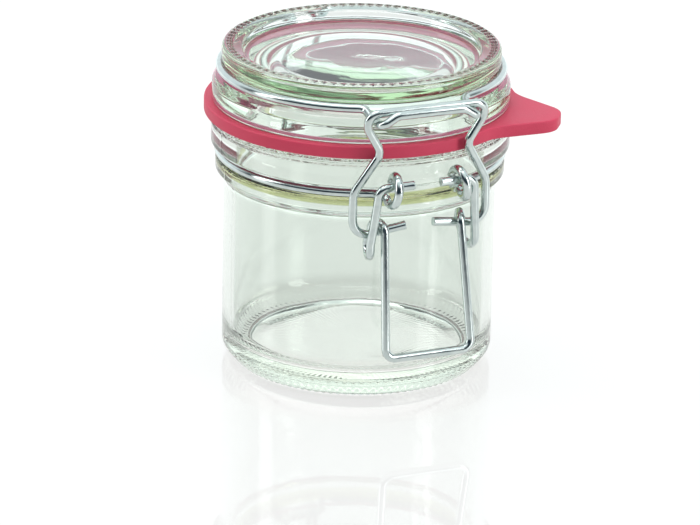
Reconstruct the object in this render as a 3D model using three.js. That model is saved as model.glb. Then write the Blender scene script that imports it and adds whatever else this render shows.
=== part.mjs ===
// A small clip top preserving jar of about a quarter of a litre, closed and empty: a pressed glass jar
// and lid, a rubber gasket with a pull tab between them, and four pieces of bent wire. The neck wire lies
// in the jar's groove, carries the hinge at the back and ends in two eyes at the front. The lid wire lies
// in the lid's groove, turns round the hinge bar and ends in a hooked nose. The link hangs over that nose,
// and the lever, held by the neck wire's eyes, pulls the link down past dead centre.
import * as THREE from "three";

// Driving dimensions in millimetres. The jar stands on z = 0 and its closure faces -Y. The origin is midway
// across the whole jar with its tab, so the glass's own axis is a little to the left, at x = glassAxisX.
// Everything below is laid out about that axis and moved there at the end.
const glassAxisX = -1.9;
const bodyRadius = 38;
const innerRadius = 35.2;
const mouthRadius = 34.6;
const rimHeight = 72;
const collarRadius = 41.7;
const ribRadius = 40.4;
const neckGrooveRadius = 38.2;
const neckWireHeight = 60.9;
const floorHeight = 6;
const fit = 0.3;

const gasketRadius = 43.7;
const gasketBore = 34.3;
const gasketBottom = rimHeight + fit;
const gasketTop = 75.3;
const tabAngle = THREE.MathUtils.degToRad(-36.2);
const tabReach = 56.3;
const tabEndWidth = 9.8;
const tabSideSlope = Math.tan(THREE.MathUtils.degToRad(34));

const lidBottom = gasketTop + fit;
const lidFlangeRadius = 41.5;
const lidGrooveRadius = 38;
const lidWireHeight = 85;
const lidTopRadius = 38.9;
const lidTop = 91.3;
const recessRadius = 33;
const recessFloor = 87.7;
const lidUnderside = 84;

const wireRadius = 1.2;
const wireSides = 8;
const neckRingRadius = neckGrooveRadius + wireRadius + 0.5;
const lidRingRadius = lidGrooveRadius + wireRadius + 0.3;

// The hinge's axis behind the jar, and the two axes of the closure in front of it. "out" is measured from
// the glass's axis towards the closure, so it is -y.
const hinge = { y: 46.5, z: 67.5 };
const leverAxis = { out: 46.6, z: 65.2 };
const linkAxis = { out: 41.7, z: 51.1 };

const latheSegments = 60;
const arcStep = THREE.MathUtils.degToRad(30);
const ringStep = THREE.MathUtils.degToRad(6);

const clearGlass = new THREE.MeshStandardMaterial({
  color: 0xdfeee4, roughness: 0.05, metalness: 0, transparent: true, opacity: 0.4,
});
const redRubber = new THREE.MeshStandardMaterial({ color: 0xd23a5c, roughness: 0.6, metalness: 0 });
const brightZinc = new THREE.MeshStandardMaterial({ color: 0xc9ced1, roughness: 0.25, metalness: 1 });

const group = new THREE.Group();

function addMesh(name, geometry, material) {
  const mesh = new THREE.Mesh(geometry.translate(glassAxisX, 0, 0), material);
  mesh.name = name;
  group.add(mesh);
}

// A glass piece turned about its axis from pairs of radius and height that go counterclockwise in that plane.
function turned(profile) {
  const points = profile.map(([radius, height]) => new THREE.Vector2(radius, height));
  return new THREE.LatheGeometry(points, latheSegments).rotateX(Math.PI / 2);
}

// Points of a round corner in a profile: a quarter or less of a circle about (radius, height).
function corner(radius, height, size, fromDegrees, toDegrees, steps) {
  return Array.from({ length: steps + 1 }, (_, i) => {
    const angle = THREE.MathUtils.degToRad(fromDegrees + ((toDegrees - fromDegrees) * i) / steps);
    return [radius + size * Math.cos(angle), height + size * Math.sin(angle)];
  });
}

// The jar: a hollow foot inside its standing ring, a round heel, a straight wall, a rib and a heavy
// collar with the neck wire's groove between them, and a flat rim.
const footRadius = 33;
const heelSize = 4.4;
const jarFloorCorner = 5;
const ribBottom = 54.9;
const ribTop = 59;
const jarProfile = [
  [0, 2.6],
  [24, 2.2],
  [footRadius - 3, 1.2],
  [footRadius - 1.4, 0],
  [footRadius + 1.4, 0],
  [footRadius + 2.4, 0.5],
  ...corner(bodyRadius - heelSize, 1.2 + heelSize, heelSize, -42, 0, 3),
  [bodyRadius, ribBottom - 1.4],
  [ribRadius - 0.7, ribBottom],
  [ribRadius, ribBottom + 0.9],
  [ribRadius, ribTop - 0.7],
  [ribRadius - 0.6, ribTop],
  [neckGrooveRadius, ribTop + 0.2],
  [neckGrooveRadius, neckWireHeight + 1.6],
  [collarRadius - 0.9, neckWireHeight + 1.7],
  [collarRadius, neckWireHeight + 2.6],
  [collarRadius, rimHeight - 2],
  [collarRadius - 0.5, rimHeight - 0.7],
  [collarRadius - 1.8, rimHeight],
  [mouthRadius + 0.8, rimHeight],
  [mouthRadius, rimHeight - 0.8],
  [mouthRadius, ribTop],
  [innerRadius, ribBottom - 2.5],
  ...corner(innerRadius - jarFloorCorner, floorHeight + jarFloorCorner, jarFloorCorner, 0, -90, 4),
  [0, floorHeight + 0.4],
];
addMesh("jar_glass", turned(jarProfile), clearGlass);

// The lid: a slightly bulging underside with a centring ring that reaches down inside the gasket, a heavy
// flange, the lid wire's groove, and a raised edge round a shallow recess.
const centringRadius = 33.8;
const centringBottom = gasketBottom + 0.5;
const lidProfile = [
  [0, lidUnderside - 0.5],
  [27, lidUnderside],
  [29.6, lidUnderside - 1.2],
  [30.4, lidUnderside - 3.2],
  [30.8, centringBottom + 0.5],
  [31.4, centringBottom],
  [centringRadius - 0.6, centringBottom],
  [centringRadius, centringBottom + 0.6],
  [centringRadius, lidBottom],
  [lidFlangeRadius - 0.8, lidBottom],
  [lidFlangeRadius, lidBottom + 0.8],
  [lidFlangeRadius, lidBottom + 5],
  [lidFlangeRadius - 0.5, lidBottom + 6.4],
  [lidFlangeRadius - 1.7, lidWireHeight - 1.9],
  [lidGrooveRadius, lidWireHeight - 1.5],
  [lidGrooveRadius, lidWireHeight + 1.4],
  [lidTopRadius, lidWireHeight + 1.9],
  [lidTopRadius, lidTop - 1.7],
  [lidTopRadius - 0.6, lidTop - 0.6],
  [lidTopRadius - 2, lidTop],
  [lidTopRadius - 3.6, lidTop],
  [recessRadius + 0.4, lidTop - 1.1],
  [recessRadius - 0.5, recessFloor + 0.9],
  [recessRadius - 1.5, recessFloor + 0.1],
  [recessRadius - 3, recessFloor],
  [0, recessFloor + 0.6],
];
addMesh("lid_glass", turned(lidProfile), clearGlass);

// The gasket: a flat ring with a pull tab, whose sides run straight to a round-cornered end and blend
// into the ring.
function gasketOutline() {
  const rootAngle = THREE.MathUtils.degToRad(24);
  const endCorner = 3.4;
  const sideWidth = (reach) => tabEndWidth / 2 + (tabReach - reach) * tabSideSlope;
  const root = [gasketRadius * Math.cos(rootAngle), gasketRadius * Math.sin(rootAngle)];
  // Where the ring's tangent at the root meets the tab's straight side.
  const along = (root[1] - sideWidth(root[0])) / (Math.cos(rootAngle) - Math.sin(rootAngle) * tabSideSlope);
  const meet = [root[0] + along * Math.sin(rootAngle), root[1] - along * Math.cos(rootAngle)];
  const blendReach = meet[0] + 3.4;
  const half = [
    root,
    meet,
    [blendReach, sideWidth(blendReach)],
    [tabReach - endCorner, sideWidth(tabReach - endCorner)],
    [tabReach, sideWidth(tabReach)],
    [tabReach, sideWidth(tabReach) - endCorner],
  ];
  const place = ([reach, width]) => [
    reach * Math.cos(tabAngle) - width * Math.sin(tabAngle),
    reach * Math.sin(tabAngle) + width * Math.cos(tabAngle),
  ];
  const left = half.map(place);
  const right = half.map(([reach, width]) => place([reach, -width])).reverse();
  const shape = new THREE.Shape();
  shape.absarc(0, 0, gasketRadius, tabAngle + rootAngle, tabAngle - rootAngle + 2 * Math.PI, false);
  shape.quadraticCurveTo(...right[4], ...right[3]);
  shape.lineTo(...right[2]);
  shape.quadraticCurveTo(...right[1], ...right[0]);
  shape.lineTo(...left[5]);
  shape.quadraticCurveTo(...left[4], ...left[3]);
  shape.lineTo(...left[2]);
  shape.quadraticCurveTo(...left[1], ...left[0]);
  const bore = new THREE.Path();
  bore.absarc(0, 0, gasketBore, 0, 2 * Math.PI, true);
  shape.holes.push(bore);
  return shape;
}
const gasketEdge = 0.4;
const gasketGeometry = new THREE.ExtrudeGeometry(gasketOutline(), {
  depth: gasketTop - gasketBottom - 2 * gasketEdge,
  curveSegments: 36,
  bevelEnabled: true,
  bevelThickness: gasketEdge,
  bevelSize: gasketEdge,
  bevelOffset: -gasketEdge,
  bevelSegments: 1,
});
gasketGeometry.translate(0, 0, gasketBottom + gasketEdge);
addMesh("gasket", gasketGeometry, redRubber);

// A curve of straight steps through points that already lie close together in every bend.
class BentWire extends THREE.Curve {
  constructor(points) {
    super();
    this.points = points;
  }
  getPointAt(u, target = new THREE.Vector3()) {
    return target.copy(this.points[Math.round(u * (this.points.length - 1))]);
  }
  getTangentAt(u, target = new THREE.Vector3()) {
    const index = Math.round(u * (this.points.length - 1));
    const here = this.points[index];
    const before = this.points[index - 1] ?? here;
    const after = this.points[index + 1] ?? here;
    const arriving = new THREE.Vector3().subVectors(here, before).normalize();
    const leaving = new THREE.Vector3().subVectors(after, here).normalize();
    return target.addVectors(arriving, leaving).normalize();
  }
}

// A round wire along a list of points.
function wire(points) {
  const section = new THREE.Shape(
    Array.from({ length: wireSides }, (_, i) => {
      const angle = ((i + 0.5) / wireSides) * 2 * Math.PI;
      return new THREE.Vector2(wireRadius * Math.cos(angle), wireRadius * Math.sin(angle));
    }),
  );
  return new THREE.ExtrudeGeometry(section, {
    steps: points.length - 1,
    extrudePath: new BentWire(points),
    bevelEnabled: false,
  });
}

const at = (x, out, z) => new THREE.Vector3(x, -out, z);

// Straight stretches between corners, each corner bent round its own radius.
function bent(corners) {
  const path = [];
  corners.forEach(({ point, radius }, i) => {
    if (!radius) {
      path.push(point);
      return;
    }
    const arriving = new THREE.Vector3().subVectors(point, corners[i - 1].point).normalize();
    const leaving = new THREE.Vector3().subVectors(corners[i + 1].point, point).normalize();
    const turn = arriving.angleTo(leaving);
    const tangentLength = radius * Math.tan(turn / 2);
    const start = point.clone().addScaledVector(arriving, -tangentLength);
    const inward = leaving.clone().addScaledVector(arriving, -leaving.dot(arriving)).normalize();
    const steps = Math.max(1, Math.round(turn / arcStep));
    for (let k = 0; k <= steps; k++) {
      const angle = (turn * k) / steps;
      path.push(
        start
          .clone()
          .addScaledVector(arriving, radius * Math.sin(angle))
          .addScaledVector(inward, radius * (1 - Math.cos(angle))),
      );
    }
  });
  return path;
}

// Part of a level ring about the glass's axis. Angles are measured from the closure's side towards +X.
function ringArc(radius, z, from, to) {
  const steps = Math.max(1, Math.round(Math.abs(to - from) / ringStep));
  return Array.from({ length: steps + 1 }, (_, i) => {
    const angle = from + ((to - from) * i) / steps;
    return at(radius * Math.sin(angle), radius * Math.cos(angle), z);
  });
}

// The corner where the ring's tangent at one angle meets the plane x = side.
function ringCorner(radius, z, angle, side) {
  const along = (side - radius * Math.sin(angle)) / Math.cos(angle);
  return at(side, radius * Math.cos(angle) - along * Math.sin(angle), z);
}

// Turns about an axis that lies along X. Angles start outwards and go up, and the wire moves along X from
// one side to the other as it turns, slowly at both ends.
function coil(axis, radius, fromDegrees, toDegrees, fromX, toX) {
  const from = THREE.MathUtils.degToRad(fromDegrees);
  const to = THREE.MathUtils.degToRad(toDegrees);
  const steps = Math.max(2, Math.round(Math.abs(to - from) / arcStep));
  return Array.from({ length: steps + 1 }, (_, i) => {
    const angle = from + ((to - from) * i) / steps;
    const x = fromX + (toX - fromX) * THREE.MathUtils.smoothstep(i, 0, steps);
    return at(x, axis.out + radius * Math.cos(angle), axis.z + radius * Math.sin(angle));
  });
}

// The whole of a wire from its half on the right, which ends in the middle plane.
function mirrored(half) {
  const other = half.map((p) => new THREE.Vector3(-p.x, p.y, p.z)).reverse();
  return [...half, ...other.slice(1)];
}

// The neck wire: an eye at the front, the ring in the jar's groove, and a raised hinge bar at the back.
const eyeRadius = 3.9;
const neckEye = { out: leverAxis.out, z: leverAxis.z - 0.9 };
const neckEyeSide = 10.9;
const neckRingStart = THREE.MathUtils.degToRad(24);
const neckRingEnd = THREE.MathUtils.degToRad(162);
const hingeBarHalf = 9;
const neckHalf = [
  ...coil(neckEye, eyeRadius, 525, 225, neckEyeSide - 2, neckEyeSide),
  ...bent([
    { point: at(neckEyeSide, neckEye.out - eyeRadius, neckEye.z - eyeRadius * 0.3) },
    { point: at(neckEyeSide, 42.1, neckWireHeight), radius: 1.6 },
    { point: ringCorner(neckRingRadius, neckWireHeight, neckRingStart, neckEyeSide), radius: 2.6 },
    { point: at(neckRingRadius * Math.sin(neckRingStart), neckRingRadius * Math.cos(neckRingStart), neckWireHeight) },
  ]).slice(1),
  ...ringArc(neckRingRadius, neckWireHeight, neckRingStart, neckRingEnd).slice(1),
  ...bent([
    { point: at(neckRingRadius * Math.sin(neckRingEnd), neckRingRadius * Math.cos(neckRingEnd), neckWireHeight) },
    { point: ringCorner(neckRingRadius, neckWireHeight, neckRingEnd, hingeBarHalf), radius: 2.6 },
    { point: at(hingeBarHalf, -hinge.y, neckWireHeight), radius: 2.6 },
    { point: at(hingeBarHalf, -hinge.y, hinge.z), radius: 2.6 },
    { point: at(0, -hinge.y, hinge.z) },
  ]).slice(1),
];
addMesh("neck_wire", wire(mirrored(neckHalf)), brightZinc);

// The lid wire: the nose bar at the front, legs that dip under the link's bar, the ring in the lid's
// groove, and two legs at the back that come down and curl round the hinge bar.
const nose = { out: 48.2, z: 86 };
const noseLeg = 14;
const lidRingStart = THREE.MathUtils.degToRad(27);
const lidRingEnd = THREE.MathUtils.degToRad(166);
const hingeLegSide = 5;
const hingeEyeRadius = 2.75;
const hingeLegOut = -(hinge.y + hingeEyeRadius);
const lidHalf = [
  ...bent([
    { point: at(0, nose.out, nose.z) },
    { point: at(noseLeg - 4.2, nose.out, nose.z), radius: 3 },
    { point: at(noseLeg, nose.out - 0.3, nose.z - 2.6), radius: 2 },
    { point: at(noseLeg + 0.3, 41.6, nose.z - 2.6), radius: 3 },
    { point: ringCorner(lidRingRadius, lidWireHeight, lidRingStart, noseLeg + 0.6), radius: 2.6 },
    { point: at(lidRingRadius * Math.sin(lidRingStart), lidRingRadius * Math.cos(lidRingStart), lidWireHeight) },
  ]),
  ...ringArc(lidRingRadius, lidWireHeight, lidRingStart, lidRingEnd).slice(1),
  ...bent([
    { point: at(lidRingRadius * Math.sin(lidRingEnd), lidRingRadius * Math.cos(lidRingEnd), lidWireHeight) },
    { point: ringCorner(lidRingRadius, lidWireHeight, lidRingEnd, hingeLegSide), radius: 2.6 },
    { point: at(hingeLegSide, hingeLegOut, lidWireHeight), radius: 3 },
    { point: at(hingeLegSide, hingeLegOut, hinge.z) },
  ]).slice(1),
  ...coil({ out: -hinge.y, z: hinge.z }, hingeEyeRadius, 180, 440, hingeLegSide, hingeLegSide).slice(1),
].reverse();
addMesh("lid_wire", wire(mirrored(lidHalf)), brightZinc);

// The lever: an inturned end in the neck wire's eye, a side leg, a long loop round the link's end, and
// the handle with its bottom bar.
const loopRadius = 2.85;
const loopBottom = { out: linkAxis.out, z: linkAxis.z - 3.6 };
const sideLeg = 15.5;
const handleTop = 11.3;
const leverBottom = { x: 12.7, out: 50.3, z: 17.2 };
const leverHalf = [
  ...bent([
    { point: at(3.9, leverAxis.out, leverAxis.z) },
    { point: at(13.9, leverAxis.out, leverAxis.z), radius: 2.4 },
    { point: at(sideLeg, loopBottom.out + loopRadius, loopBottom.z + 1) },
  ]),
  ...coil(loopBottom, loopRadius, 0, -180, sideLeg, sideLeg - 1.4),
  ...coil(linkAxis, loopRadius, -180, -348, sideLeg - 2.5, handleTop),
  ...bent([
    { point: at(handleTop, linkAxis.out + loopRadius, linkAxis.z) },
    { point: at(leverBottom.x, leverBottom.out, leverBottom.z), radius: 2.8 },
    { point: at(0, leverBottom.out, leverBottom.z) },
  ]).slice(1),
];
addMesh("lever", wire(mirrored(leverHalf)), brightZinc);

// The link: an inturned end in the lever's loop, a little higher at its free tip, an arm that swells,
// narrows at a waist and widens again, and the top bar that hangs in the lid wire's nose.
const linkBar = { x: 17.2, out: 45.5, z: 86.3 };
const linkEndSlope = 0.13;
const linkEnd = (x) => at(x, linkAxis.out, linkAxis.z + (13 - x) * linkEndSlope);
const linkHalf = bent([
  { point: linkEnd(4.15) },
  { point: linkEnd(19.7), radius: 4.6 },
  { point: at(19.6, 41.6, 63), radius: 6 },
  { point: at(12.6, 44, 74.6), radius: 3.5 },
  { point: at(linkBar.x - 0.2, 44.6, 82), radius: 4 },
  { point: at(linkBar.x, linkBar.out, linkBar.z), radius: 2.8 },
  { point: at(0, linkBar.out, linkBar.z) },
]);
addMesh("link", wire(mirrored(linkHalf)), brightZinc);

export default group;
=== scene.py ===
import bpy
import numpy as np
from mathutils import Matrix, Vector


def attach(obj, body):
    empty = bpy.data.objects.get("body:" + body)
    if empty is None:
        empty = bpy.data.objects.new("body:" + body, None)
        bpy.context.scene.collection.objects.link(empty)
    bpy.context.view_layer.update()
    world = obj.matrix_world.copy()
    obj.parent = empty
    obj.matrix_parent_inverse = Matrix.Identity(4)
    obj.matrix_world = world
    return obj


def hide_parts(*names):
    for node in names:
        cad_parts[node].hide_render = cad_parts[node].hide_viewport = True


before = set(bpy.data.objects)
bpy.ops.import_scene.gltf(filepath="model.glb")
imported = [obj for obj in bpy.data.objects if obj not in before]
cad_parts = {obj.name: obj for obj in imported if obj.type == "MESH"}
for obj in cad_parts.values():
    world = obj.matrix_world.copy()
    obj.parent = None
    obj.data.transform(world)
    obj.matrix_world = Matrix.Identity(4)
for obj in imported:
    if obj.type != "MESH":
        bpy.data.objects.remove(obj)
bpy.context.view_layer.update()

# Glass jar
# Pressed soda-lime glass, turned round Z: a hollow foot in a knurled standing ring, a straight wall,
# a rib and a heavy collar with the neck wire's groove between them. Lengths here are millimetres from
# the glass's own axis, which the gasket's tab puts a little to the left of the frame's origin.
MM = 0.001
GLASS_AXIS_X = -1.9
BODY_RADIUS = 38.0
COLLAR_RADIUS = 41.7
NECK_GROOVE = 38.2
RIM_HEIGHT = 72.0
RIB_TOP_LEVEL = 58.5
FOOT_KNURLS = 104
JAR_SEGMENTS = FOOT_KNURLS * 6
FOOT_KNURL_DEPTH = 0.2
HEEL_KNURL_DEPTH = 0.16
SEAM_HEIGHT = 0.09
SEAM_HALF_WIDTH = 0.32
WALL_WAVES = (0.05, 0.035)
FLOOR_LUMPS = (0.16, 0.1)
PRESSED_FROM = 0.25


def rounded(corners, arc_step=16.0, settle=0.3):
    """A polyline through (radius, height, fillet) corners: every corner is an arc tangent to both its
    sides, and each straight side gets a point just past its ends, so that it stays straight when
    shaded smooth."""
    places = np.array([c[:2] for c in corners], float)
    points = [places[:1]]
    fillets = [c[2] for c in corners[1:]]
    for before, here, after, fillet in zip(places, places[1:], places[2:], fillets):
        arriving = (here - before) / np.linalg.norm(here - before)
        leaving = (after - here) / np.linalg.norm(after - here)
        turn = np.arctan2(arriving[0] * leaving[1] - arriving[1] * leaving[0], arriving @ leaving)
        tangent = fillet * abs(np.tan(turn / 2))
        inward = np.array([-arriving[1], arriving[0]]) * np.sign(turn)
        start = here - arriving * tangent
        end = here + leaving * tangent
        steps = int(np.ceil(abs(np.degrees(turn)) / arc_step))
        angle = np.linspace(0, abs(turn), steps + 1)[:, None]
        arc = start + fillet * (np.sin(angle) * arriving + (1 - np.cos(angle)) * inward)
        points += [(start - arriving * settle)[None], arc, (end + leaving * settle)[None]]
    points.append(places[-1:])
    return np.concatenate(points)


def outward(profile):
    """The unit normal on the right of a profile's direction, from central differences."""
    along = np.gradient(profile, axis=0)
    normal = np.stack([along[:, 1], -along[:, 0]], -1)
    return normal / np.linalg.norm(normal, axis=1, keepdims=True)


def window(value, low, high, blend):
    """1 between low and high, falling smoothly to 0 over blend on each side."""
    rise = np.clip((value - low + blend) / blend, 0, 1) * np.clip((high + blend - value) / blend, 0, 1)
    return rise * rise * (3 - 2 * rise)


def new_mesh(name, points, quads, triangles=None, uv=None, pressed=None):
    """A smooth shaded mesh of quads, and of triangles round its poles, from whole arrays of points in
    millimetres and of point numbers. Pressed gives every point a number that a material can read."""
    mesh = bpy.data.meshes.new(name)
    triangles = np.zeros((0, 3), int) if triangles is None else triangles
    corners = np.concatenate([quads.ravel(), triangles.ravel()])
    counts = np.concatenate([np.full(len(quads), 4), np.full(len(triangles), 3)])
    mesh.vertices.add(len(points))
    mesh.vertices.foreach_set("co", ((points + [GLASS_AXIS_X, 0, 0]) * MM).astype(np.float32).ravel())
    mesh.loops.add(len(corners))
    mesh.loops.foreach_set("vertex_index", corners.astype(np.int32))
    mesh.polygons.add(len(counts))
    mesh.polygons.foreach_set("loop_start", (np.cumsum(counts) - counts).astype(np.int32))
    mesh.polygons.foreach_set("use_smooth", np.ones(len(counts), bool))
    if uv is not None:
        mesh.uv_layers.new(name="UVMap").data.foreach_set("uv", uv.astype(np.float32).ravel())
    if pressed is not None:
        attribute = mesh.attributes.new("pressed", "FLOAT", "POINT")
        attribute.data.foreach_set("value", pressed.astype(np.float32))
    mesh.update(calc_edges=True)
    mesh.validate()
    piece = bpy.data.objects.new(name, mesh)
    bpy.context.scene.collection.objects.link(piece)
    return piece


def turned(name, profile, segments, relief):
    """f(u, v) = profile(v) + relief(u, v) * normal(v), turned round Z by the angle u. The profile starts
    and ends on the axis, and each end is one point. Pressed goes from 0, at a depth of PRESSED_FROM, to 1
    at twice that depth."""
    ring = profile[1:-1]
    normal = outward(profile)[1:-1]
    angle = np.arange(segments) / segments * 2 * np.pi
    height = relief(angle, ring)
    radius = ring[:, :1] + height * normal[:, :1]
    level = ring[:, 1:] + height * normal[:, 1:]
    grid = np.stack([radius * np.cos(angle), radius * np.sin(angle), level], -1).reshape(-1, 3)
    poles = [[0, 0, profile[0, 1]], [0, 0, profile[-1, 1]]]
    row, column = np.meshgrid(np.arange(len(ring) - 1), np.arange(segments), indexing="ij")
    here, beside = row * segments + column, row * segments + (column + 1) % segments
    quads = np.stack([here, beside, beside + segments, here + segments], -1).reshape(-1, 4)
    around = np.arange(segments)
    nearby = (around + 1) % segments
    last = (len(ring) - 1) * segments
    first_pole = np.stack([np.full(segments, len(grid)), nearby, around], -1)
    last_pole = np.stack([np.full(segments, len(grid) + 1), last + around, last + nearby], -1)
    pressed = np.concatenate([np.clip(-height.ravel() / PRESSED_FROM - 1, 0, 1), [0, 0]])
    return new_mesh(name, np.concatenate([grid, poles]), quads, np.concatenate([first_pole, last_pole]),
                    pressed=pressed)


jar_profile = rounded([
    (0, 2.6, 0),
    (24, 2.2, 20),
    (30.4, 1.4, 3),
    (31.5, 0, 0.5),
    (34.6, 0, 0.6),
    (35.9, 1.5, 0.9),
    (BODY_RADIUS, 4.1, 3.0),
    (BODY_RADIUS, 53.6, 3),
    (39.7, 54.9, 0.8),
    (40.4, 55.8, 0.8),
    (40.4, 58.4, 0.8),
    (39.8, 59.1, 0.4),
    (NECK_GROOVE, 59.3, 0.7),
    (NECK_GROOVE, 62.4, 0.6),
    (40.9, 62.6, 0.3),
    (COLLAR_RADIUS, 63.4, 0.8),
    (COLLAR_RADIUS, 69.0, 0.35),
    (41.2, 69.6, 0.4),
    (41.2, 70.3, 0.3),
    (41.6, 70.8, 0.35),
    (41.55, RIM_HEIGHT, 1.1),
    (34.6, RIM_HEIGHT, 0.9),
    (34.6, 59, 20),
    (35.2, 52.4, 20),
    (35.2, 6, 5.2),
    (20, 6.1, 30),
    (0, 6.5, 0),
])


def jar_relief(angle, ring):
    """Grooves between the knurls of the standing ring, two mould seams at the sides, and the slow waves
    of pressed glass on the inner wall and floor."""
    radius, level = ring[:, :1], ring[:, 1:]
    outside = (np.arange(len(ring)) < np.argmax(ring[:, 1]))[:, None]
    groove = 0.5 - 0.5 * np.cos(FOOT_KNURLS * angle)
    heel = outside * window(level, 2.6, 4.4, 0.5)
    foot = outside * window(radius, 34.2, 35.2, 0.4) * (level < 0.9)
    seam_offset = radius * np.arcsin(np.abs(np.sin(angle)))
    seam = outside * (level > 6) * (level < 71) * np.exp(-(seam_offset / SEAM_HALF_WIDTH) ** 2)
    wave = (WALL_WAVES[0] * np.sin(3 * angle + 0.08 * level)
            + WALL_WAVES[1] * np.sin(7 * angle - 0.13 * level + 1))
    inner = ~outside * window(level, 14, 54, 8)
    lump = (FLOOR_LUMPS[0] * np.sin(2 * angle + 0.33 * radius)
            + FLOOR_LUMPS[1] * np.sin(3 * angle - 0.5 * radius + 1))
    floor = ~outside * (level < 8) * window(radius, 6, 25, 6)
    knurls = FOOT_KNURL_DEPTH * foot + HEEL_KNURL_DEPTH * heel
    return -knurls * groove + SEAM_HEIGHT * seam + wave * inner + lump * floor


jar_glass = turned("jar_body", jar_profile, JAR_SEGMENTS, jar_relief)


class Value:
    """A shader socket. Arithmetic on it adds Math nodes to its material."""

    def __init__(self, finish, socket):
        self.finish, self.socket = finish, socket

    def __add__(self, other):
        return self.finish.maths("ADD", self, other)

    def __sub__(self, other):
        return self.finish.maths("SUBTRACT", self, other)

    def __mul__(self, other):
        return self.finish.maths("MULTIPLY", self, other)

    __radd__, __rmul__ = __add__, __mul__


class Finish:
    """A material with one Principled shader."""

    def __init__(self, name, **sockets):
        self.material = bpy.data.materials.new(name)
        self.material.use_nodes = True
        self.tree = self.material.node_tree
        self.shader = self.tree.nodes["Principled BSDF"]
        self.output = self.tree.nodes["Material Output"]
        for socket, value in sockets.items():
            self.set(socket.replace("_", " ").title().replace("Ior", "IOR"), value)

    def join(self, socket, value):
        if isinstance(value, Value):
            self.tree.links.new(value.socket, socket)
        else:
            socket.default_value = value

    def set(self, name, value):
        self.join(self.shader.inputs[name], value)

    def node(self, kind, settings=None, inputs=None, output=0):
        """A node of any kind: its settings first, then its sockets, by name or number."""
        node = self.tree.nodes.new(kind)
        for name, value in (settings or {}).items():
            setattr(node, name, value)
        for key, value in (inputs or {}).items():
            self.join(node.inputs[key], value)
        return Value(self, node.outputs[output])

    def maths(self, operation, *terms):
        return self.node("ShaderNodeMath", {"operation": operation}, dict(enumerate(terms)))

    def place(self, source="Object"):
        return self.node("ShaderNodeTexCoord", output=source)

    def noise(self, place, scale, detail, stretch=(1, 1, 1)):
        moved = self.node("ShaderNodeMapping", inputs={"Vector": place, "Scale": stretch})
        return self.node("ShaderNodeTexNoise", inputs={"Vector": moved, "Scale": scale, "Detail": detail})

    def tint(self, factor, first, second):
        """A mix of two colours, each three numbers or another mix."""
        mix = self.node("ShaderNodeMix", {"data_type": "RGBA"}, {"Factor": factor}, output=2)
        for index, colour in ((6, first), (7, second)):
            self.join(mix.socket.node.inputs[index], colour if isinstance(colour, Value) else (*colour, 1))
        return mix

    def bump(self, height, distance, strength):
        self.set("Normal", self.node("ShaderNodeBump", inputs={
            "Height": height, "Distance": distance, "Strength": strength}))


GLASS_IOR = 1.52
JAR_WAVE_HEIGHT = 0.0001
JAR_DEPTH_TINT, JAR_TINT_PER_METRE = (0.50, 0.72, 0.12), 2.5
# The thick rib does look greener through its volume; the darker olive band on the surface at the rib's top
# is painted shade for that look, and the glass itself is the wall's pale green.
JAR_TINT, RIB_TOP_PAINTED_SHADE = (0.825, 0.863, 0.828), (0.38, 0.42, 0.13)
RIB_TOP_FULL, RIB_TOP_END = 0.0008, 0.0013


def pressed_glass(name, wave_height, depth_tint, tint_per_metre):
    """Clear glass with the faint waves of pressing, and the green that it takes where it is thick."""
    glass = Finish(name, roughness=0.0, transmission_weight=1.0, ior=GLASS_IOR)
    waves = glass.noise(glass.place(), 60, 2) + glass.noise(glass.place(), 300, 1) * 0.12
    glass.bump(waves, wave_height, 0.6)
    absorption = glass.node("ShaderNodeVolumeAbsorption", inputs={
        "Color": (*depth_tint, 1), "Density": tint_per_metre})
    glass.tree.links.new(absorption.socket, glass.output.inputs["Volume"])
    return glass


jar_clear = pressed_glass("jar_pressed_glass", JAR_WAVE_HEIGHT, JAR_DEPTH_TINT, JAR_TINT_PER_METRE)
level = jar_clear.node("ShaderNodeSeparateXYZ", inputs={0: jar_clear.place()}, output=2)
off_rib = jar_clear.node("ShaderNodeMapRange", {"interpolation_type": "SMOOTHSTEP"}, {
    "Value": jar_clear.maths("ABSOLUTE", level - RIB_TOP_LEVEL * MM),
    "From Min": RIB_TOP_FULL, "From Max": RIB_TOP_END})
# Painted shade: a band of dark olive on the surface at the rib's top level, the pale green wall colour
# elsewhere.
jar_clear.set("Base Color", jar_clear.tint(off_rib, RIB_TOP_PAINTED_SHADE, JAR_TINT))
jar_glass.data.materials.append(jar_clear.material)
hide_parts("jar_glass")
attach(jar_glass, "jar")

# Glass lid
# Pressed in the same glass: a centring ring that reaches down inside the gasket, a heavy flange, the lid
# wire's groove, and a raised edge with a knurled crest round a shallow recess.
LID_KNURLS = 88
LID_SEGMENTS = LID_KNURLS * 7
LID_KNURL_DEPTH = 1.0
LID_GROOVE = 38
LID_TOP = 91.3
LID_BOTTOM = 75.5
RECESS_WARP = 0.13
RECESS_WAVE = 0.008
LID_WAVE_HEIGHT = 0.00003
LID_DEPTH_TINT, LID_TINT_PER_METRE = (0.28, 0.9, 0.12), 9.0
# The near-black colour for the knurl grooves is painted shade: it stands in for the dark room that the
# groove walls refract, and is not a colour of the glass.
LID_TINT, KNURL_PAINTED_SHADE = (0.93, 0.925, 0.95), (0.03, 0.05, 0.03)

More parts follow.
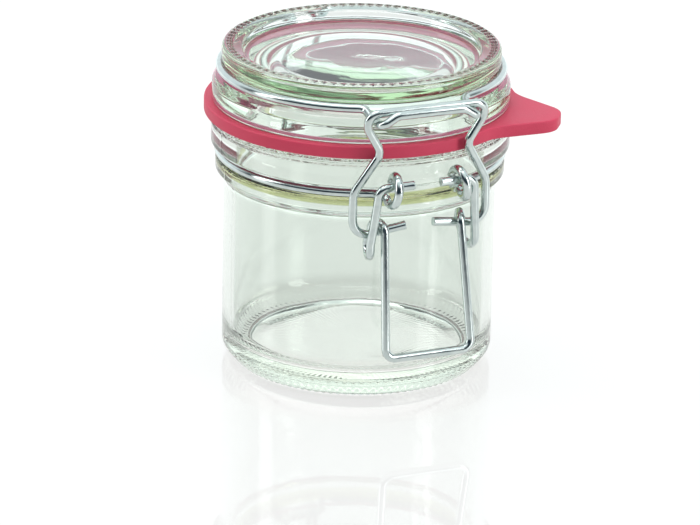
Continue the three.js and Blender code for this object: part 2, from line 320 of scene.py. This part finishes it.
lid_profile = rounded([
    (0, 83.1, 0),
    (5, 83.1, 300),
    (14, 83.35, 250),
    (29.5, 83.95, 7),
    (30.5, 76.5, 3),
    (31.1, 72.8, 0.6),
    (33.8, 72.8, 0.7),
    (33.8, LID_BOTTOM, 0.3),
    (41.5, LID_BOTTOM, 0.9),
    (41.5, 80.8, 1.4),
    (40.6, 82.4, 1.0),
    (39.6, 83.2, 0.4),
    (LID_GROOVE, 83.5, 0.5),
    (LID_GROOVE, 86.4, 0.6),
    (38.9, 86.9, 0.5),
    (38.9, LID_TOP - 0.3, 1.4),
    (37.2, LID_TOP, 0.3),
    (36.6, LID_TOP, 0.3),
    (36.0, LID_TOP - 0.1, 0.3),
    (35.2, LID_TOP - 0.4, 0.8),
    (33.2, 90.1, 1.2),
    (32.4, 88.2, 0.5),
    (31.4, 87.7, 0.8),
    (14, 88.1, 300),
    (5, 88.15, 300),
    (0, 88.15, 0),
])


def lid_relief(angle, ring):
    """Grooves between the radial knurls on the crest, and slow waves in the recess and underside."""
    radius, level = ring[:, :1], ring[:, 1:]
    groove = np.clip(0.5 - 0.9 * np.cos(LID_KNURLS * angle), 0, 1)
    crest = window(radius, 36.0, 37.25, 0.3) * (level > 90)
    wave = (-RECESS_WARP * np.sin(2 * angle + 0.81) * (radius / 27) ** 2
            + RECESS_WAVE * np.sin(5 * angle - 0.2 * radius + 2))
    return -LID_KNURL_DEPTH * groove * crest + wave * window(radius, 8, 24, 6)


lid_glass = turned("lid_body", lid_profile, LID_SEGMENTS, lid_relief)
lid_clear = pressed_glass("lid_pressed_glass", LID_WAVE_HEIGHT, LID_DEPTH_TINT, LID_TINT_PER_METRE)
pressed = lid_clear.node("ShaderNodeAttribute", {"attribute_name": "pressed"}, output="Fac")
# Painted shade: the base colour turns near-black in the knurl grooves of the crest, by how deep they are
# pressed.
lid_clear.set("Base Color", lid_clear.tint(pressed, LID_TINT, KNURL_PAINTED_SHADE))
lid_glass.data.materials.append(lid_clear.material)
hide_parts("lid_glass")
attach(lid_glass, "lid")

# Rubber gasket
# Cut from red rubber sheet: a flat ring stretched over the lid's centring ring, with a pull tab that
# stands out beside the closure. Squeezed onto both glasses, it leaves no film of air to mirror it away.
# Its inner part, round the bore, is painted a paler pink: painted light for the light that reaches the
# rubber there through the glass.
GASKET_RADIUS = 43.7
GASKET_BORE = 34.3
GASKET_SQUEEZE = 0.02
GASKET_BOTTOM = RIM_HEIGHT - GASKET_SQUEEZE
GASKET_TOP = LID_BOTTOM + GASKET_SQUEEZE
GASKET_EDGE = 0.45
TAB_ANGLE = np.radians(-36.2)
TAB_ROOT = np.radians(24)
TAB_REACH = 56.3
TAB_END_WIDTH = 9.8
TAB_END_CORNER = 3.4
TAB_SLOPE = np.tan(np.radians(34))
TAB_ROOT_BLEND = 3.4
# The paler pink round the bore is painted light: it stands in for the light that reaches the rubber there
# through the glass.
PAINTED_LIGHT_FULL, PAINTED_LIGHT_END = 36.5, 40.5
BORE_PAINTED_LIGHT = (0.88, 0.17, 0.36)
RUBBER_DARK, RUBBER_BRIGHT = (0.58, 0.035, 0.085), (0.66, 0.055, 0.115)


def eased(points, steps=12):
    """A parabola from the first to the last of three points that leaves and arrives along the lines
    to the middle one."""
    t = np.linspace(0, 1, steps)[:, None]
    return (1 - t) ** 2 * points[0] + 2 * t * (1 - t) * points[1] + t ** 2 * points[2]


def gasket_outline():
    """The outer edge from the tab's middle round to the tab's middle again: half the rounded end, the
    straight side, the eased root, and the ring, then the same mirrored."""
    side = lambda reach: TAB_END_WIDTH / 2 + (TAB_REACH - reach) * TAB_SLOPE
    root = GASKET_RADIUS * np.array([np.cos(TAB_ROOT), np.sin(TAB_ROOT)])
    along = (root[1] - side(root[0])) / (np.cos(TAB_ROOT) - np.sin(TAB_ROOT) * TAB_SLOPE)
    meet = root + along * np.array([np.sin(TAB_ROOT), -np.cos(TAB_ROOT)])
    blend = meet[0] + TAB_ROOT_BLEND
    near_end = TAB_REACH - TAB_END_CORNER
    end_half = side(TAB_REACH) - TAB_END_CORNER
    ring_angle = np.linspace(TAB_ROOT, np.pi, 150)[1:]
    half = np.concatenate([
        np.stack([np.full(6, TAB_REACH), np.linspace(0, end_half, 6)], -1)[:-1],
        eased(np.array([[TAB_REACH, end_half], [TAB_REACH, side(TAB_REACH)], [near_end, side(near_end)]])),
        np.linspace([near_end, side(near_end)], [blend, side(blend)], 8)[1:-1],
        eased(np.array([[blend, side(blend)], meet, root])),
        GASKET_RADIUS * np.stack([np.cos(ring_angle), np.sin(ring_angle)], -1),
    ])
    whole = np.concatenate([half, half[-2:0:-1] * [1, -1]])
    turn = np.array([[np.cos(TAB_ANGLE), np.sin(TAB_ANGLE)], [-np.sin(TAB_ANGLE), np.cos(TAB_ANGLE)]])
    return whole @ turn


def gasket_grid():
    """f(u, v): at each point u of the outline a flat section with rounded edges runs from the bore to the
    outline and back, with v going over the top, down the outer edge and back underneath."""
    outer = gasket_outline()
    along = np.roll(outer, -1, 0) - np.roll(outer, 1, 0)
    out_normal = np.stack([along[:, 1], -along[:, 0]], -1)
    out_normal /= np.linalg.norm(out_normal, axis=1, keepdims=True)
    radial = outer / np.linalg.norm(outer, axis=1, keepdims=True)
    inner = radial * GASKET_BORE
    quarter = np.radians(np.linspace(0, 90, 5))
    inset, drop = GASKET_EDGE * (1 - np.sin(quarter)), GASKET_EDGE * (1 - np.cos(quarter))
    shares = np.array([0.04, 0.3, 0.6, 0.96])
    flat = np.full(4, GASKET_EDGE)
    share = np.concatenate([np.zeros(5), shares, np.ones(5), np.ones(5), shares[::-1], np.zeros(5)])
    edge = np.concatenate([inset[::-1], flat, inset, inset[::-1], flat, inset])
    level = np.concatenate([
        GASKET_TOP - drop[::-1], np.full(4, GASKET_TOP), GASKET_TOP - drop,
        GASKET_BOTTOM + drop[::-1], np.full(4, GASKET_BOTTOM), GASKET_BOTTOM + drop])
    share, edge = share[:, None, None], edge[:, None, None]
    flatwise = share * (outer - edge * out_normal) + (1 - share) * (inner + edge * radial)
    height = np.broadcast_to(level[:, None, None], flatwise.shape[:2] + (1,))
    return np.concatenate([flatwise, height], -1)


def looped(name, grid):
    """A mesh of a grid that closes on itself both ways, its faces turned outwards."""
    rows, columns = grid.shape[:2]
    row, column = np.meshgrid(np.arange(rows), np.arange(columns), indexing="ij")
    next_row, next_column = (row + 1) % rows, (column + 1) % columns
    quads = np.stack([row * columns + column, next_row * columns + column,
                      next_row * columns + next_column, row * columns + next_column], -1)
    return new_mesh(name, grid.reshape(-1, 3), quads.reshape(-1, 4))


gasket = looped("gasket_ring", gasket_grid())
rubber = Finish("red_rubber", specular_ior_level=0.4)
rubber_patch = rubber.noise(rubber.place(), 90, 3)
rubber_grain = rubber.noise(rubber.place(), 2600, 2)
rubber_red = rubber.tint(rubber_patch, RUBBER_DARK, RUBBER_BRIGHT)
flat_place = rubber.node("ShaderNodeMapping", inputs={
    "Vector": rubber.place(), "Location": (-GLASS_AXIS_X * MM, 0, 0), "Scale": (1, 1, 0)})
from_axis = rubber.node("ShaderNodeVectorMath", {"operation": "LENGTH"}, {0: flat_place}, output="Value")
off_painted_light = rubber.node("ShaderNodeMapRange", {"interpolation_type": "SMOOTHSTEP"}, {
    "Value": from_axis, "From Min": PAINTED_LIGHT_FULL * MM, "From Max": PAINTED_LIGHT_END * MM})
# Painted light: the base colour turns paler pink towards the bore.
rubber.set("Base Color", rubber.tint(off_painted_light, BORE_PAINTED_LIGHT, rubber_red))
rubber.set("Roughness", 0.42 + rubber_patch * 0.2)
rubber.bump(rubber_grain, 0.00012, 0.5)
gasket.data.materials.append(rubber.material)
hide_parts("gasket")
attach(gasket, "lid")

# Neck wire
# Bright zinc-plated steel wire, 2.4 mm thick: it lies in the jar's groove, ends in an eye each side of
# the closure, and rises behind into the bar that the lid turns on.
WIRE_RADIUS = 1.2
WIRE_SIDES = 20
ZINC_DULL, ZINC_BRIGHT = (0.45, 0.52, 0.51), (0.68, 0.74, 0.72)
HINGE_BACK, HINGE_LEVEL = 46.5, 67.5
LEVER_OUT, LEVER_LEVEL = 46.6, 65.2
LINK_OUT, LINK_LEVEL = 41.7, 51.1


def at(x, out, level):
    return np.array([x, -out, level], float)


def bent(corners, step=7.5):
    """Straight stretches between (point, bend radius) corners, each bent round its own radius."""
    places = [np.asarray(c[0], float) for c in corners]
    path = [places[0][None]]
    for before, here, after, radius in zip(places, places[1:], places[2:], [c[1] for c in corners[1:]]):
        arriving = (here - before) / np.linalg.norm(here - before)
        leaving = (after - here) / np.linalg.norm(after - here)
        turn = np.arccos(np.clip(arriving @ leaving, -1, 1))
        inward = leaving - (leaving @ arriving) * arriving
        inward /= np.linalg.norm(inward)
        angle = np.linspace(0, turn, max(2, int(np.degrees(turn) / step)) + 1)[:, None]
        start = here - arriving * radius * np.tan(turn / 2)
        path.append(start + radius * (np.sin(angle) * arriving + (1 - np.cos(angle)) * inward))
    path.append(places[-1][None])
    return np.concatenate(path)


def ring_arc(radius, level, start, end, step=2.5):
    """Part of a level ring about Z, by angles in degrees from the closure's side towards +X."""
    angle = np.radians(np.linspace(start, end, int(abs(end - start) / step) + 1))
    return np.stack([radius * np.sin(angle), -radius * np.cos(angle), np.full_like(angle, level)], -1)


def ring_corner(radius, level, degrees, side):
    """Where the ring's tangent at an angle meets the plane x = side."""
    angle = np.radians(degrees)
    along = (side - radius * np.sin(angle)) / np.cos(angle)
    return at(side, radius * np.cos(angle) - along * np.sin(angle), level)


def coil(centre, radius, start, end, from_x, to_x, step=7.5):
    """A turn round an axis along X: angles in degrees go up from outwards, and x moves smoothly from one
    side to the other."""
    t = np.linspace(0, 1, int(abs(end - start) / step) + 1)
    angle = np.radians(start + (end - start) * t)
    x = from_x + (to_x - from_x) * t * t * (3 - 2 * t)
    return np.stack([x, -(centre[0] + radius * np.cos(angle)), centre[1] + radius * np.sin(angle)], -1)


def both_sides(half):
    """The whole of a wire from its half at positive x, which ends in the plane x = 0."""
    return np.concatenate([half, half[-2::-1] * [-1, 1, 1]])


def drawn(name, path):
    """f(u, v) = path(u) + radius(u) * (cos v * side(u) + sin v * up(u)): a round wire along the path with
    sheared, slightly burred ends. Side and up are carried along without twist, and the UV map has the
    length in metres along u and the share of a turn along v."""
    keep = np.concatenate([[True], np.linalg.norm(np.diff(path, axis=0), axis=1) > 1e-4])
    path = path[keep]
    first = (path[1] - path[0]) / np.linalg.norm(path[1] - path[0])
    last = (path[-1] - path[-2]) / np.linalg.norm(path[-1] - path[-2])
    sunk = np.array([0.16, 0.1, 0, 0.06, 0.25, 0.55])[:, None]
    swell = np.array([0, 0.5, 0.86, 1.03, 1.04, 1.0])
    path = np.concatenate([path[0] + sunk * first, path[1:-1], (path[-1] - sunk * last)[::-1]])
    radius = WIRE_RADIUS * np.concatenate([swell, np.ones(len(path) - 12), swell[::-1]])
    step = np.diff(path, axis=0)
    length = np.linalg.norm(step, axis=1, keepdims=True)
    heading = step / length
    heading[:3], heading[-3:] = first, last
    tangent = np.concatenate([heading[:1], heading[:-1] + heading[1:], heading[-1:]])
    tangent /= np.linalg.norm(tangent, axis=1, keepdims=True)
    side = np.empty_like(path)
    side[0] = np.cross(tangent[0], [0.3, 0.5, 0.81])
    for i in range(len(path)):
        side[i] = side[max(i - 1, 0)] - (side[max(i - 1, 0)] @ tangent[i]) * tangent[i]
        side[i] /= np.linalg.norm(side[i])
    up = np.cross(tangent, side)
    angle = np.arange(WIRE_SIDES) / WIRE_SIDES * 2 * np.pi
    spoke = np.cos(angle)[None, :, None] * side[:, None] + np.sin(angle)[None, :, None] * up[:, None]
    rings = (path[:, None] + radius[:, None, None] * spoke)[1:-1]
    grid = np.concatenate([rings.reshape(-1, 3), path[:1], path[-1:]])
    row, column = np.meshgrid(np.arange(len(rings) - 1), np.arange(WIRE_SIDES), indexing="ij")
    here = row * WIRE_SIDES + column
    beside = row * WIRE_SIDES + (column + 1) % WIRE_SIDES
    quads = np.stack([here, beside, beside + WIRE_SIDES, here + WIRE_SIDES], -1).reshape(-1, 4)
    around = np.arange(WIRE_SIDES)
    nearby = (around + 1) % WIRE_SIDES
    end = (len(rings) - 1) * WIRE_SIDES
    caps = np.concatenate([
        np.stack([np.full(WIRE_SIDES, len(grid) - 2), nearby, around], -1),
        np.stack([np.full(WIRE_SIDES, len(grid) - 1), end + around, end + nearby], -1)])
    distance = np.concatenate([[0], np.cumsum(np.linalg.norm(np.diff(path[1:-1], axis=0), axis=1))]) * MM
    u0, u1 = distance[row], distance[row + 1]
    v0, v1 = column / WIRE_SIDES, (column + 1) / WIRE_SIDES
    quad_uv = np.stack([u0, v0, u0, v1, u1, v1, u1, v0], -1).reshape(-1, 2)
    cap_uv = np.repeat([[0, 0.5], [distance[-1], 0.5]], 3 * WIRE_SIDES, axis=0)
    return new_mesh(name, grid, quads, caps, np.concatenate([quad_uv, cap_uv]))


NECK_WIRE_LEVEL = 60.9
NECK_RING = NECK_GROOVE + WIRE_RADIUS + 0.15
EYE_RADIUS = 3.9
EYE = (LEVER_OUT, LEVER_LEVEL - 0.9)
EYE_SIDE = 10.9
HINGE_BAR_HALF = 9
neck_half = np.concatenate([
    coil(EYE, EYE_RADIUS, 525, 225, EYE_SIDE - 2, EYE_SIDE),
    bent([
        (at(EYE_SIDE, EYE[0] - EYE_RADIUS, EYE[1] - EYE_RADIUS * 0.3), 0),
        (at(EYE_SIDE, 42.1, NECK_WIRE_LEVEL), 1.6),
        (ring_corner(NECK_RING, NECK_WIRE_LEVEL, 24, EYE_SIDE), 2.6),
        (ring_arc(NECK_RING, NECK_WIRE_LEVEL, 24, 26)[0], 0),
    ])[1:],
    ring_arc(NECK_RING, NECK_WIRE_LEVEL, 24, 162)[1:],
    bent([
        (ring_arc(NECK_RING, NECK_WIRE_LEVEL, 162, 164)[0], 0),
        (ring_corner(NECK_RING, NECK_WIRE_LEVEL, 162, HINGE_BAR_HALF), 2.6),
        (at(HINGE_BAR_HALF, -HINGE_BACK, NECK_WIRE_LEVEL), 2.6),
        (at(HINGE_BAR_HALF, -HINGE_BACK, HINGE_LEVEL), 2.6),
        (at(0, -HINGE_BACK, HINGE_LEVEL), 0),
    ])[1:],
])
neck_wire = drawn("neck_wire_bent", both_sides(neck_half))

zinc = Finish("bright_zinc_wire", metallic=1.0)
along_wire = zinc.place("UV")
drawing_lines = zinc.noise(along_wire, 40, 3, stretch=(1.5, 1, 1))
plating = zinc.noise(zinc.place(), 420, 3)
zinc.set("Base Color", zinc.tint(plating, ZINC_DULL, ZINC_BRIGHT))
zinc.set("Roughness", 0.09 + plating * 0.14)
zinc.bump(drawing_lines * 0.5 + plating * 0.5, 0.00006, 0.5)


def finish_wire(wire, node, body):
    """The wire's plating, the node it stands for and the body it moves with."""
    wire.data.materials.append(zinc.material)
    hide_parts(node)
    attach(wire, body)


finish_wire(neck_wire, "neck_wire", "jar")

# Lid wire
# The same wire in the lid's groove: a hooked nose in front for the link to hang on, legs that dip under
# the link's bar, and two legs behind that curl round the hinge bar.
LID_WIRE_LEVEL = 85.0
LID_RING = LID_GROOVE + WIRE_RADIUS + 0.12
NOSE_OUT, NOSE_LEVEL = 48.2, 86.0
NOSE_LEG = 14
HINGE_LEG_SIDE = 5
HINGE_EYE_RADIUS = 2.75
LEG_OUT = -(HINGE_BACK + HINGE_EYE_RADIUS)
lid_half = np.concatenate([
    bent([
        (at(0, NOSE_OUT, NOSE_LEVEL), 0),
        (at(NOSE_LEG - 4.2, NOSE_OUT, NOSE_LEVEL), 3),
        (at(NOSE_LEG, NOSE_OUT - 0.3, NOSE_LEVEL - 2.6), 2),
        (at(NOSE_LEG + 0.3, 41.6, NOSE_LEVEL - 2.6), 3),
        (ring_corner(LID_RING, LID_WIRE_LEVEL, 27, NOSE_LEG + 0.6), 2.6),
        (ring_arc(LID_RING, LID_WIRE_LEVEL, 27, 30)[0], 0),
    ]),
    ring_arc(LID_RING, LID_WIRE_LEVEL, 27, 166)[1:],
    bent([
        (ring_arc(LID_RING, LID_WIRE_LEVEL, 166, 168)[0], 0),
        (ring_corner(LID_RING, LID_WIRE_LEVEL, 166, HINGE_LEG_SIDE), 2.6),
        (at(HINGE_LEG_SIDE, LEG_OUT, LID_WIRE_LEVEL), 3),
        (at(HINGE_LEG_SIDE, LEG_OUT, HINGE_LEVEL), 0),
    ])[1:],
    coil((-HINGE_BACK, HINGE_LEVEL), HINGE_EYE_RADIUS, 180, 440, HINGE_LEG_SIDE, HINGE_LEG_SIDE)[1:],
])
lid_wire = drawn("lid_wire_bent", both_sides(lid_half[::-1]))
finish_wire(lid_wire, "lid_wire", "lid")

# Lever
# One wire that makes the finger handle: inturned ends sit in the neck wire's eyes, the side legs run down
# to a long loop round each end of the link, and the handle hangs from the loops.
LOOP_RADIUS = 2.85
LOOP_BOTTOM = (LINK_OUT, LINK_LEVEL - 3.6)
SIDE_LEG = 15.5
HANDLE_TOP = 11.3
HANDLE_FOOT, HANDLE_OUT, HANDLE_LEVEL = 12.7, 50.3, 17.2
lever_half = np.concatenate([
    bent([
        (at(3.9, LEVER_OUT, LEVER_LEVEL), 0),
        (at(13.9, LEVER_OUT, LEVER_LEVEL), 2.4),
        (at(SIDE_LEG, LOOP_BOTTOM[0] + LOOP_RADIUS, LOOP_BOTTOM[1] + 1), 0),
    ]),
    coil(LOOP_BOTTOM, LOOP_RADIUS, 0, -180, SIDE_LEG, SIDE_LEG - 1.4),
    coil((LINK_OUT, LINK_LEVEL), LOOP_RADIUS, -180, -348, SIDE_LEG - 2.5, HANDLE_TOP),
    bent([
        (at(HANDLE_TOP, LINK_OUT + LOOP_RADIUS, LINK_LEVEL), 0),
        (at(HANDLE_FOOT, HANDLE_OUT, HANDLE_LEVEL), 2.8),
        (at(0, HANDLE_OUT, HANDLE_LEVEL), 0),
    ])[1:],
])
lever = drawn("lever_bent", both_sides(lever_half))
finish_wire(lever, "lever", "lever")

# Link
# The wire that pulls the lid down: inturned ends in the lever's loops, arms that swell, narrow to a waist
# and widen again, and the top bar that hangs behind the lid wire's nose.
LINK_BAR_SIDE, LINK_BAR_OUT, LINK_BAR_LEVEL = 17.2, 45.5, 86.3
LINK_TIP, LINK_LOOP, LINK_SHOULDER = 4.15, 13, 19.7
LINK_END_SLOPE = 0.13
link_half = bent([
    (at(LINK_TIP, LINK_OUT, LINK_LEVEL + (LINK_LOOP - LINK_TIP) * LINK_END_SLOPE), 0),
    (at(LINK_SHOULDER, LINK_OUT, LINK_LEVEL + (LINK_LOOP - LINK_SHOULDER) * LINK_END_SLOPE), 4.6),
    (at(19.6, 41.6, 63), 6),
    (at(12.6, 44, 74.6), 3.5),
    (at(LINK_BAR_SIDE - 0.2, 44.6, 82), 4),
    (at(LINK_BAR_SIDE, LINK_BAR_OUT, LINK_BAR_LEVEL), 2.8),
    (at(0, LINK_BAR_OUT, LINK_BAR_LEVEL), 0),
])
link = drawn("link_bent", both_sides(link_half))
finish_wire(link, "link", "link")

# Table
# A sheet of white acrylic lit from below, as under product photographs, and brightest right under the
# jar, which mirrors in it faintly. It lies a hair below the jar's foot.
TABLE_HALF, TABLE_LEVEL = 40.0, -0.00005
TABLE_GLOW = (0.70, 0.70, 0.69)
LAMP_GLOW = (1.12, 1.05, 1.09)
LAMP_RADIUS, LAMP_REACH = 0.027, 0.036
table_mesh = bpy.data.meshes.new("table")
table_mesh.from_pydata(
    [(x * TABLE_HALF, y * TABLE_HALF, TABLE_LEVEL) for x, y in ((-1, -1), (1, -1), (1, 1), (-1, 1))],
    [], [(0, 1, 2, 3)])
table = bpy.data.objects.new("table", table_mesh)
bpy.context.scene.collection.objects.link(table)
table_white = Finish("lit_white_acrylic", base_color=(0.16, 0.16, 0.16, 1), roughness=0.02,
                     emission_strength=1.0)
from_lamp = table_white.node("ShaderNodeVectorMath", {"operation": "DISTANCE"}, {
    0: table_white.place(), 1: (GLASS_AXIS_X * MM, 0, 0)}, output="Value")
lamp_fall = table_white.node("ShaderNodeMapRange", {"interpolation_type": "SMOOTHSTEP"}, {
    "Value": from_lamp, "From Min": LAMP_RADIUS, "From Max": LAMP_REACH})
table_white.set("Emission Color", table_white.tint(lamp_fall, LAMP_GLOW, TABLE_GLOW))
table_mesh.materials.append(table_white.material)

# Studio light
# A white studio with a dark room behind the camera, which draws the dark streaks in wire and glass, and
# three soft boxes: a tall one at the right in front, a smaller one at the left and a wide one above.
CAMERA_TURN = np.radians(23.3)
STUDIO_WHITE, ROOM_DARK = (0.90, 0.97, 1.0), (0.02, 0.035, 0.05)
STUDIO_STRENGTH = 1.15
SOFT_BOX_AIM = Vector((0, 0, 0.045))
world = bpy.data.worlds.new("studio")
bpy.context.scene.world = world
world.use_nodes = True
tree = world.node_tree
background = tree.nodes["Background"]
direction = tree.nodes.new("ShaderNodeTexCoord").outputs["Generated"]
split = tree.nodes.new("ShaderNodeSeparateXYZ")
front = tree.nodes.new("ShaderNodeVectorMath")
front.operation = "DOT_PRODUCT"
front.inputs[1].default_value = (-np.sin(CAMERA_TURN), -np.cos(CAMERA_TURN), 0)
tree.links.new(direction, split.inputs[0])
tree.links.new(direction, front.inputs[0])


def world_ramp(source, stops):
    """Brightness by a source from -1 to 1: stops are (place from 0 to 1, brightness)."""
    ramp = tree.nodes.new("ShaderNodeValToRGB")
    ramp.color_ramp.elements.remove(ramp.color_ramp.elements[0])
    for i, (place, bright) in enumerate(stops):
        stop = ramp.color_ramp.elements[0] if i == 0 else ramp.color_ramp.elements.new(place)
        stop.position = place
        stop.color = (bright, bright, bright, 1)
    shift = tree.nodes.new("ShaderNodeMath")
    shift.operation = "MULTIPLY_ADD"
    shift.inputs[1].default_value = 0.5
    shift.inputs[2].default_value = 0.5
    tree.links.new(source, shift.inputs[0])
    tree.links.new(shift.outputs[0], ramp.inputs[0])
    return ramp.outputs[0]


level_band = world_ramp(split.outputs[2], ((0.0, 1), (0.78, 1), (0.9, 0)))
front_band = world_ramp(front.outputs["Value"], ((0.0, 0), (0.28, 0), (0.42, 1), (1.0, 1)))
both = tree.nodes.new("ShaderNodeMath")
both.operation = "MULTIPLY"
tree.links.new(level_band, both.inputs[0])
tree.links.new(front_band, both.inputs[1])
sky = tree.nodes.new("ShaderNodeMix")
sky.data_type = "RGBA"
sky.inputs[6].default_value = (*STUDIO_WHITE, 1)
sky.inputs[7].default_value = (*ROOM_DARK, 1)
tree.links.new(both.outputs[0], sky.inputs["Factor"])
tree.links.new(sky.outputs[2], background.inputs["Color"])
background.inputs["Strength"].default_value = STUDIO_STRENGTH


def soft_box(name, place, width, height, watts):
    """A rectangular area light that faces the jar."""
    light = bpy.data.lights.new(name, "AREA")
    light.shape, light.size, light.size_y, light.energy = "RECTANGLE", width, height, watts
    box = bpy.data.objects.new(name, light)
    bpy.context.scene.collection.objects.link(box)
    box.location = place
    box.rotation_euler = (SOFT_BOX_AIM - Vector(place)).to_track_quat("-Z", "Y").to_euler()


soft_box("soft_box_right", (0.95, -1.2, 0.7), 0.45, 1.3, 12)
soft_box("soft_box_left", (-1.3, 0.35, 0.7), 0.35, 1.2, 6)
soft_box("soft_box_above", (-0.2, 0.1, 1.6), 1.0, 1.0, 7)

# Camera
# Where the photograph was taken from: 20 degrees up and 23.3 degrees left of the closure, 1.4 m away.
CAMERA_RISE = np.radians(20)
CAMERA_DISTANCE = 1.4
CAMERA_AIM = Vector((GLASS_AXIS_X * MM, 0, 0.0265))
CAMERA_ROLL = np.radians(1.16)
CAMERA_LENS, CAMERA_SENSOR, CAMERA_SHIFT = 255.8, 36, -0.0109
LIGHT_BOUNCES = 24
towards = Vector((-np.cos(CAMERA_RISE) * np.sin(CAMERA_TURN), -np.cos(CAMERA_RISE) * np.cos(CAMERA_TURN),
                  np.sin(CAMERA_RISE)))
lens = bpy.data.cameras.new("camera")
lens.lens, lens.sensor_width, lens.shift_x = CAMERA_LENS, CAMERA_SENSOR, CAMERA_SHIFT
lens.clip_end = 50
camera = bpy.data.objects.new("camera", lens)
bpy.context.scene.collection.objects.link(camera)
camera.matrix_world = (Matrix.Translation(CAMERA_AIM + towards * CAMERA_DISTANCE)
                       @ (-towards).to_track_quat("-Z", "Y").to_matrix().to_4x4()
                       @ Matrix.Rotation(CAMERA_ROLL, 4, "Z"))
scene = bpy.context.scene
scene.camera = camera
scene.view_settings.view_transform = "Standard"
scene.cycles.max_bounces = LIGHT_BOUNCES
scene.cycles.transmission_bounces = LIGHT_BOUNCES
scene.cycles.glossy_bounces = 8
scene.cycles.transparent_max_bounces = 16
scene.cycles.caustics_refractive = True
scene.cycles.caustics_reflective = True
scene.cycles.use_denoising = True
